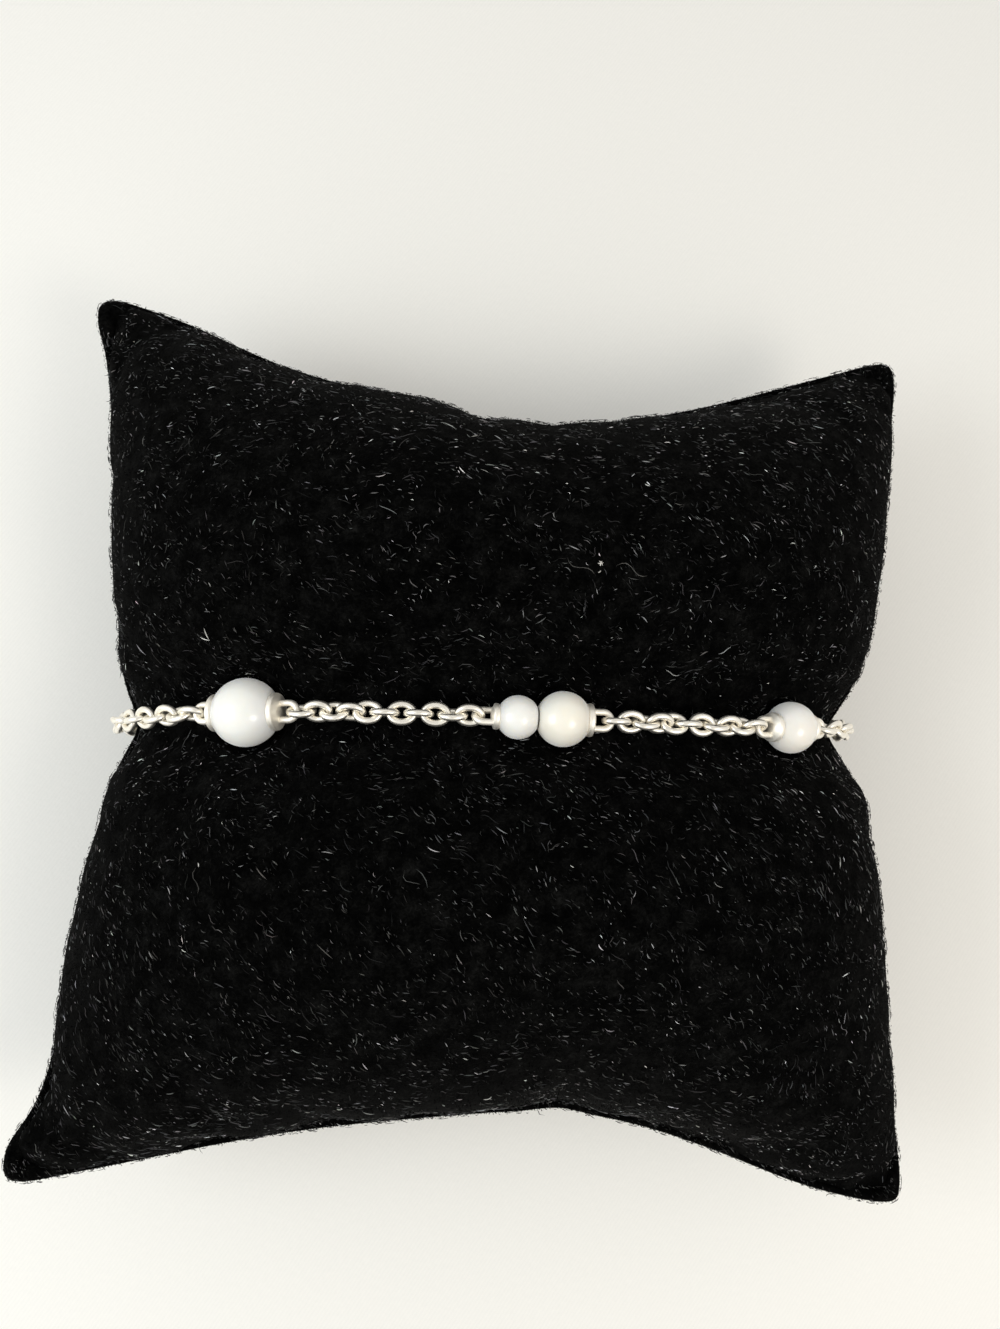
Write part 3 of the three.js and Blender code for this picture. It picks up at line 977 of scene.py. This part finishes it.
def pucker(pillow, look):
    """Lets two soft lobes swell at the middle of the near and far edges, with a pucker between."""
    places = coordinates(pillow.data)
    x, y, z = places.T
    edge = np.exp(-(((z - look.seam_height) / (7 * MM)) ** 2))
    for side, depth in zip((-1, 1), look.pucker):
        away = x - PUCKER_SHARE * x.max()
        lobes = 0.5 * depth * np.exp(-((away / LOBE_WIDTH) ** 2))
        notch = depth * np.exp(-((away / NOTCH_WIDTH) ** 2))
        reach = np.clip((side * y / np.abs(y).max() - 0.3) / 0.4, 0, 1)
        places[:, 1] += side * reach * edge * (lobes - notch)
    set_coordinates(pillow.data, places)


def model_pillow(look, loop):
    """The stuffed pillow: its CAD solid subdivided, swollen, and kept off the bracelet."""
    pillow = copy_node("pillow", "velvet_pillow")
    edit(pillow)
    bpy.ops.mesh.tris_convert_to_quads(
        face_threshold=math.radians(60), shape_threshold=math.radians(70),
    )
    done()
    crease_seam(pillow, look)
    subdivide(pillow, "finer_cloth")
    stuff(pillow, look, loop)
    sink(pillow, look.pile)
    pucker(pillow, look)
    keep_clear(pillow, loop)
    subdivide(pillow, "smooth_cloth")
    places = coordinates(pillow.data)
    places[:, 2] = np.maximum(places[:, 2], 0)
    set_coordinates(pillow.data, places)
    select_only(pillow)
    bpy.ops.object.shade_smooth()
    return pillow


def sew_seam(pillow, look):
    """The sewn edge: a soft roll of velvet round the pillow that swells into its ears."""
    route = coordinates(pillow.data)[seam_vertices(pillow)]
    route = route[np.argsort(np.arctan2(route[:, 1], route[:, 0]))]
    for _ in range(3):
        route = (np.roll(route, 1, 0) + 2 * route + np.roll(route, -1, 0)) / 4
    radii = np.full(len(route), look.seam_radius)
    inwards = np.zeros_like(route)
    sides = [(x, y) for x in (-1, 1) for y in (-1, 1)]
    for (x, y), ear in zip(sides, look.ear_radii):
        tip = route[np.argmax(route[:, 0] * x + route[:, 1] * y)]
        share = np.exp(-((np.linalg.norm(route - tip, axis=1) / EAR_REACH) ** 2))
        radii += (ear - look.seam_radius) * share
        inwards -= (ear - EAR_OUTSIDE) * share[:, None] * unit(np.array([x, y, 0.0]))
    route += inwards
    curve = bpy.data.curves.new("seam", "CURVE")
    curve.dimensions = "3D"
    spline = curve.splines.new("POLY")
    spline.points.add(len(route) - 1)
    for point, place, radius in zip(spline.points, route, radii):
        point.co = (*place, 1)
        point.radius = radius / look.seam_radius
    spline.use_cyclic_u = True
    curve.bevel_depth = look.seam_radius
    curve.bevel_resolution = 3
    seam = bpy.data.objects.new("velvet_seam", curve)
    bpy.context.collection.objects.link(seam)
    select_only(seam)
    bpy.ops.object.convert(target="MESH")
    bpy.ops.object.shade_smooth()
    return bpy.context.object


# How broad the tufts are that fibres gather in, and the swirls that they lie in.
TUFT = 3.6 * MM
SWIRL = 8 * MM
# Fluff keeps this far from the bracelet's thread, from a pearl and from the table.
THREAD_BARE = 2.0 * MM
PEARL_BARE = 0.7 * MM
TABLE_BARE = 0.7 * MM


def tufts(places, rng, wavelength):
    """A smooth random field over the cloth, about -1 to 1, that gathers fibres into tufts."""
    waves = unit(rng.normal(0, 1, (9, 3))) * 2 * math.pi / wavelength
    waves = waves / rng.uniform(0.7, 1.5, (9, 1))
    return np.sin(places @ waves.T + rng.uniform(0, 7, 9)).sum(1) / 3


def scatter(pieces, count, rng, loop, gathering):
    """Random places on the cloth with their normals, gathered in tufts, and off the bracelet."""
    triangles, crowding = [], []
    for piece, density in pieces:
        mesh = piece.data
        mesh.calc_loop_triangles()
        corners = np.empty(len(mesh.loop_triangles) * 3, np.int32)
        mesh.loop_triangles.foreach_get("vertices", corners)
        triangles.append(coordinates(mesh)[corners.reshape(-1, 3)])
        crowding += [density] * len(mesh.loop_triangles)
    a, b, c = np.concatenate(triangles).transpose(1, 0, 2)
    normals = np.cross(b - a, c - a)
    areas = np.linalg.norm(normals, axis=1)
    normals = normals / areas[:, None]
    # The underside is hidden, so it gets fewer.
    weight = areas * np.array(crowding) * np.where(normals[:, 2] < -0.5, 0.3, 1.0)
    chosen = rng.choice(len(areas), 3 * count, p=weight / weight.sum())
    u, v = rng.random((2, 3 * count, 1))
    flip = u + v > 1
    u, v = np.where(flip, 1 - u, u), np.where(flip, 1 - v, v)
    places = a[chosen] + u * (b - a)[chosen] + v * (c - a)[chosen]
    likely = 0.5 + gathering * tufts(places, rng, TUFT)
    clear = (places[:, 2] > TABLE_BARE) & (nearness(places, loop)[0] > THREAD_BARE)
    for node in PEARLS:
        centre, radius, _ = pearl_place(node, loop)
        clear &= np.linalg.norm(places - np.array(centre), axis=1) > radius + PEARL_BARE
    kept = np.flatnonzero(clear & (rng.random(3 * count) < likely))[:count]
    return places[kept], normals[chosen][kept]


def grown_mesh(name, places, faces, shades=None):
    """A piece from arrays of places and faces, with a shade for each vertex."""
    places = places.copy()
    places[:, 2] = np.maximum(places[:, 2], 0.01 * MM)
    mesh = bpy.data.meshes.new(name)
    mesh.from_pydata(places.tolist(), [], faces.tolist())
    if shades is not None:
        colors = np.concatenate([shades, np.ones((len(shades), 1))], 1)
        attribute = mesh.attributes.new("shade", "FLOAT_COLOR", "POINT")
        attribute.data.foreach_set("color", colors.astype(np.float32).ravel())
    piece = bpy.data.objects.new(name, mesh)
    bpy.context.collection.objects.link(piece)
    return piece


def grow_pile(name, piece, hairs, pile, thickness, loop, rng):
    """Short hairs that stand on the cloth and lean with the nap, each a thin three-sided spike."""
    roots, normals = scatter([(piece, 1)], hairs, rng, loop, 0.1)
    count = len(roots)
    nap = np.array([0.3, -0.6, 0.1])
    lean = unit(normals + 0.5 * (nap + rng.normal(0, 0.8, (count, 3))))
    length = pile * rng.uniform(0.5, 1.25, (count, 1))
    width = thickness * rng.uniform(0.7, 1.3, (count, 1)) * MM
    side = unit(np.cross(lean, rng.normal(0, 1, (count, 3))))
    other = np.cross(lean, side)
    roots = roots - 0.05 * MM * normals
    ring = [
        roots + width * (math.cos(turn) * side + math.sin(turn) * other)
        for turn in (0, 2 * math.pi / 3, 4 * math.pi / 3)
    ]
    places = np.stack([*ring, roots + length * lean], 1).reshape(-1, 3)
    first = 4 * np.arange(count)[:, None, None]
    faces = first + np.array([[0, 1, 3], [1, 2, 3], [2, 0, 3], [2, 1, 0]])
    return grown_mesh(name, places, faces.reshape(-1, 3))


def spindles(name, middles, normals, heading, length, bend, kink, width, shades, rings):
    """Curved fibres with pointed ends: some three-sided rings between two tips."""
    side = np.cross(normals, heading)

    def spine(step):
        turn = bend * step
        along = length * step * np.sinc(turn / math.pi)
        aside = length * (step * np.sin(turn / 2) + kink * math.sin(2 * math.pi * step))
        arch = 0.05 * length * (1 - 4 * step**2)
        return middles + along * heading + aside * side + arch * normals

    places = [spine(-0.5)]
    for step in np.linspace(-0.5, 0.5, rings + 2)[1:-1]:
        places += [
            spine(step) + width * (math.cos(angle) * side + math.sin(angle) * normals)
            for angle in (math.pi / 2, 7 * math.pi / 6, 11 * math.pi / 6)
        ]
    places.append(spine(0.5))
    last = 3 * rings + 1
    shape = [(0, 2, 1), (0, 3, 2), (0, 1, 3)]
    shape += [(last, last - 3, last - 2), (last, last - 2, last - 1), (last, last - 1, last - 3)]
    for ring in range(rings - 1):
        for corner in range(3):
            a, b = 3 * ring + 1 + corner, 3 * ring + 1 + (corner + 1) % 3
            shape += [(a, b, b + 3), (a, b + 3, a + 3)]
    faces = (last + 1) * np.arange(len(middles))[:, None, None] + np.array(shape)
    places = np.stack(places, 1).reshape(-1, 3)
    return grown_mesh(name, places, faces.reshape(-1, 3), np.repeat(shades, last + 1, axis=0))


def lay_fibres(name, pieces, loop, rng, count, rings, middle_length, spread, thickness, shade):
    """Fibres lying on the pile along its grain, most of them dark and a few of them pale."""
    roots, normals = scatter(pieces, count, rng, loop, 1.0)
    count = len(roots)
    near_side = np.clip(-roots[:, 1:2] / (20 * MM), 0, 1)
    grain = np.array([0.66, -0.3, 0]) + near_side * np.array([0.2, -0.55, 0])
    swirl = np.stack([tufts(roots, rng, SWIRL) for _ in range(3)], 1)
    heading = grain + 0.4 * swirl + rng.normal(0, 0.32, (count, 3))
    heading = unit(heading - normals * (heading * normals).sum(1, keepdims=True))
    length = np.clip(rng.lognormal(math.log(middle_length), spread, (count, 1)), 0.1, 2.6) * MM
    bend = rng.normal(0, 0.75, (count, 1))
    kink = rng.normal(0, 0.09, (count, 1)) if rings > 2 else 0
    width = thickness * rng.uniform(0.7, 1.3, (count, 1)) * MM
    lift = rng.uniform(0.05, 0.26, (count, 1)) * MM
    # A fibre's shade is a painted glint: most fibres dim, a few pale as if they caught the light.
    middle_shade, contrast = shade
    shades = middle_shade * rng.lognormal(0, contrast, (count, 1))
    shades = np.clip(shades, 0.003, 0.8) * (1 + rng.normal(0, 0.035, (count, 3)))
    return spindles(
        name, roots + lift * normals, normals, heading, length, bend, kink, width,
        np.clip(shades, 0, 1), rings,
    )


FIBRES = (
    # kind, which is also the setting that counts them, rings, middle length in millimetres and its
    # spread, thickness in millimetres, middle shade of the painted glints and its spread
    ("strands", 2, 0.64, 0.45, 0.046, (0.019, 1.3)),
    ("filaments", 4, 1.05, 0.35, 0.036, (0.02, 1.1)),
    ("flecks", 1, 0.37, 0.35, 0.042, (0.019, 1.45)),
)

LINT = (
    # place across and along the pillow as shares of its half sizes, heading in degrees, length and
    # thickness in millimetres, bend, kink, shade
    (0.184, 0.318, 10, 0.6, 0.06, 0.6, 0.0, 0.6),
    (0.184, 0.318, 75, 0.55, 0.06, -0.8, 0.0, 0.7),
    (0.185, 0.319, 130, 0.6, 0.05, 0.4, 0.0, 0.55),
    (0.183, 0.302, 40, 0.35, 0.06, 0.5, 0.0, 0.5),
    (0.146, 0.308, -30, 3.3, 0.028, 0.5, 0.1, 0.12),
    (0.248, 0.312, -12, 3.4, 0.028, -0.4, -0.12, 0.14),
    (0.030, -0.735, 60, 1.2, 0.04, 1.9, 0.0, 0.4),
)


def drop_lint(pillow):
    """A few pale threads that have fallen on the velvet."""
    low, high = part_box("pillow")
    places, normals = [], []
    for across, along, *_ in LINT:
        above = Vector((across * high.x, along * high.y, 2 * high.z))
        _, place, normal, _ = pillow.ray_cast(above, Vector((0, 0, -1)))
        places.append(place)
        normals.append(normal)
    normals = np.array(normals)
    turn, length, width, bend, kink, shade = np.array(LINT)[:, 2:, None].transpose(1, 0, 2)
    turn = np.radians(turn)
    heading = np.concatenate([np.cos(turn), np.sin(turn), np.zeros_like(turn)], 1)
    heading = unit(heading - normals * (heading * normals).sum(1, keepdims=True))
    return spindles(
        "lint", np.array(places) + 0.3 * MM * normals, normals, heading, length * MM, bend, kink,
        width * MM, shade * np.array([[1.0, 0.97, 0.9]]), 6,
    )


# ------------------------------------------------------------------ operators


class BRACELET_OT_pearls(bpy.types.Operator):
    """Models the drilled pearls"""

    bl_idname = "bracelet.pearls"
    bl_label = "Pearls"

    def execute(self, context):
        look = settings("pearls")
        loop = Loop()
        for node, (slot, body, blush) in PEARLS.items():
            material = nacre_material(f"nacre_{body}", getattr(look, body), blush)
            finish_piece(model_pearl(node, loop, look), material, slot, node)
        return {"FINISHED"}


class BRACELET_OT_caps(bpy.types.Operator):
    """Models the silver caps with their eyes"""

    bl_idname = "bracelet.caps"
    bl_label = "Caps"

    def execute(self, context):
        look, wires = settings("pearls"), settings("chain")
        loop = Loop()
        silver = silver_material("satin_silver", 0.42, 0.56, 0.8)
        for node in STATION_CAPS:
            finish_piece(model_cap(node, loop, look, wires), silver, "silver", node)
        return {"FINISHED"}


class BRACELET_OT_chain(bpy.types.Operator):
    """Models the links of every stretch of chain"""

    bl_idname = "bracelet.chain"
    bl_label = "Chain"

    def execute(self, context):
        wires = settings("chain")
        loop = Loop()
        silver = wire_silver()
        rng = np.random.default_rng(11)
        link = model_link(wires)
        for node in STRETCHES:
            finish_piece(model_stretch(node, loop, wires, link, rng), silver, "silver", node)
        bpy.data.objects.remove(link)
        return {"FINISHED"}


class BRACELET_OT_clasp(bpy.types.Operator):
    """Models the clasp and its jump rings"""

    bl_idname = "bracelet.clasp"
    bl_label = "Clasp"

    def execute(self, context):
        silver = wire_silver()
        finish_piece(model_clasp(), silver, "silver", "clasp")
        wires = settings("chain")
        for node in ("jump_ring_tail", "jump_ring_mouth"):
            finish_piece(model_jump_ring(node, wires), silver, "silver", node)
        return {"FINISHED"}


class BRACELET_OT_pillow(bpy.types.Operator):
    """Models the velvet pillow with its seam, pile and loose strands"""

    bl_idname = "bracelet.pillow"
    bl_label = "Pillow"

    def execute(self, context):
        look = settings("pillow")
        loop = Loop()
        rng = np.random.default_rng(4)
        velvet = velvet_material(look.velvet)
        pillow = model_pillow(look, loop)
        finish_piece(pillow, velvet, "velvet", "pillow")
        seam = sew_seam(pillow, look)
        pillow.vertex_groups.clear()
        finish_piece(seam, velvet, "velvet")
        for row in (
            # name, piece, count, depth, thickness in millimetres
            ("velvet_pile", pillow, look.hairs, look.pile, 0.05),
            ("seam_fuzz", seam, look.fuzz, 0.6 * look.pile, 0.075),
        ):
            finish_piece(grow_pile(*row, loop, rng), velvet, "velvet")
        cloth = [(pillow, 1), (seam, 2.2)]
        fibre = fibre_material()
        for kind, *row in FIBRES:
            fluff = lay_fibres(f"velvet_{kind}", cloth, loop, rng, getattr(look, kind), *row)
            finish_piece(fluff, fibre, "velvet")
        finish_piece(drop_lint(pillow), fibre, "velvet")
        return {"FINISHED"}


LAMPS = (
    # name, place and side in metres, power in watts, colour
    ("window", (-0.22, -0.03, 0.2), 0.16, 0.33, (0.9, 0.965, 1.0)),
    ("lamp", (0.14, -0.1, 0.24), 0.1, 0.2, (1.0, 0.94, 0.85)),
)


class BRACELET_OT_stage(bpy.types.Operator):
    """Sets up the table, the light and the camera"""

    bl_idname = "bracelet.stage"
    bl_label = "Stage"

    def execute(self, context):
        stage = settings("stage")
        deselect()
        bpy.ops.mesh.primitive_plane_add(size=3.0, location=(0, 0, 0))
        table = bpy.context.object
        table.name = table.data.name = "table"
        table.data.materials.append(table_material())
        context.scene.world = soft_room(stage.ambient)
        for row in LAMPS:
            add_lamp(*row)
        camera = bpy.data.cameras.new("camera")
        camera.lens = stage.lens
        camera.sensor_width = 36
        camera.clip_start = 0.002
        camera.clip_end = 20
        holder = bpy.data.objects.new("camera", camera)
        context.collection.objects.link(holder)
        turn = (
            Matrix.Rotation(stage.pan, 4, "Y")
            @ Matrix.Rotation(stage.tilt, 4, "X")
            @ Matrix.Rotation(stage.roll, 4, "Z")
        )
        holder.matrix_world = Matrix.Translation(stage.camera_place) @ turn
        context.scene.camera = holder
        context.scene.view_settings.view_transform = "Standard"
        return {"FINISHED"}


def soft_room(strength):
    """A pale room that is a little darker straight overhead."""
    world = bpy.data.worlds.new("soft_room")
    world.use_nodes = True
    nodes, links = world.node_tree.nodes, world.node_tree.links
    background = nodes["Background"]
    background.inputs["Strength"].default_value = strength
    direction = nodes.new("ShaderNodeTexCoord")
    split = nodes.new("ShaderNodeSeparateXYZ")
    ramp = nodes.new("ShaderNodeValToRGB")
    walls = [
        (height, (shade, 0.99 * shade, 0.965 * shade))
        for height, shade in ((0.35, 1.05), (0.75, 1.0), (0.9, 0.85))
    ]
    set_stops(ramp, (0.0, (0.98, 0.97, 0.95)), *walls, (1.0, (0.62, 0.61, 0.59)))
    links.new(direction.outputs["Generated"], split.inputs["Vector"])
    links.new(split.outputs["Z"], ramp.inputs["Fac"])
    links.new(ramp.outputs["Color"], background.inputs["Color"])
    return world


def add_lamp(name, place, size, power, color):
    """A soft square light that faces the bracelet."""
    lamp = bpy.data.lights.new(name, "AREA")
    lamp.size = size
    lamp.energy = power
    lamp.color = color
    holder = bpy.data.objects.new(name, lamp)
    bpy.context.collection.objects.link(holder)
    holder.location = place
    holder.rotation_euler = Vector(place).to_track_quat("Z", "Y").to_euler()


class BRACELET_PT_panel(bpy.types.Panel):
    """Lists the settings and the steps that build the bracelet."""

    bl_idname = "BRACELET_PT_panel"
    bl_label = "Pearl station bracelet"
    bl_space_type = "VIEW_3D"
    bl_region_type = "UI"
    bl_category = "Bracelet"

    def draw(self, context):
        for name, group in SETTINGS.items():
            box = self.layout.box()
            box.label(text=name.title())
            for item in group.__annotations__:
                box.prop(settings(name), item)
        for step in STEPS:
            self.layout.operator(step.bl_idname)


SETTINGS = {
    "chain": ChainSettings,
    "pearls": PearlSettings,
    "pillow": PillowSettings,
    "stage": StageSettings,
}
STEPS = (
    BRACELET_OT_stage,
    BRACELET_OT_pillow,
    BRACELET_OT_pearls,
    BRACELET_OT_caps,
    BRACELET_OT_chain,
    BRACELET_OT_clasp,
)


def register():
    """Registers the settings, the steps and the panel."""
    for group in (*SETTINGS.values(), *STEPS, BRACELET_PT_panel):
        bpy.utils.register_class(group)
    for name, group in SETTINGS.items():
        setattr(bpy.types.Scene, f"bracelet_{name}", bpy.props.PointerProperty(type=group))


def unregister():
    """Takes them all away again."""
    for name in SETTINGS:
        delattr(bpy.types.Scene, f"bracelet_{name}")
    for group in (BRACELET_PT_panel, *reversed(STEPS), *SETTINGS.values()):
        bpy.utils.unregister_class(group)


def main():
    """Runs every step."""
    register()
    bpy.ops.bracelet.stage()
    bpy.ops.bracelet.pillow()
    bpy.ops.bracelet.pearls()
    bpy.ops.bracelet.caps()
    bpy.ops.bracelet.chain()
    bpy.ops.bracelet.clasp()


if __name__ == "__main__":
    main()
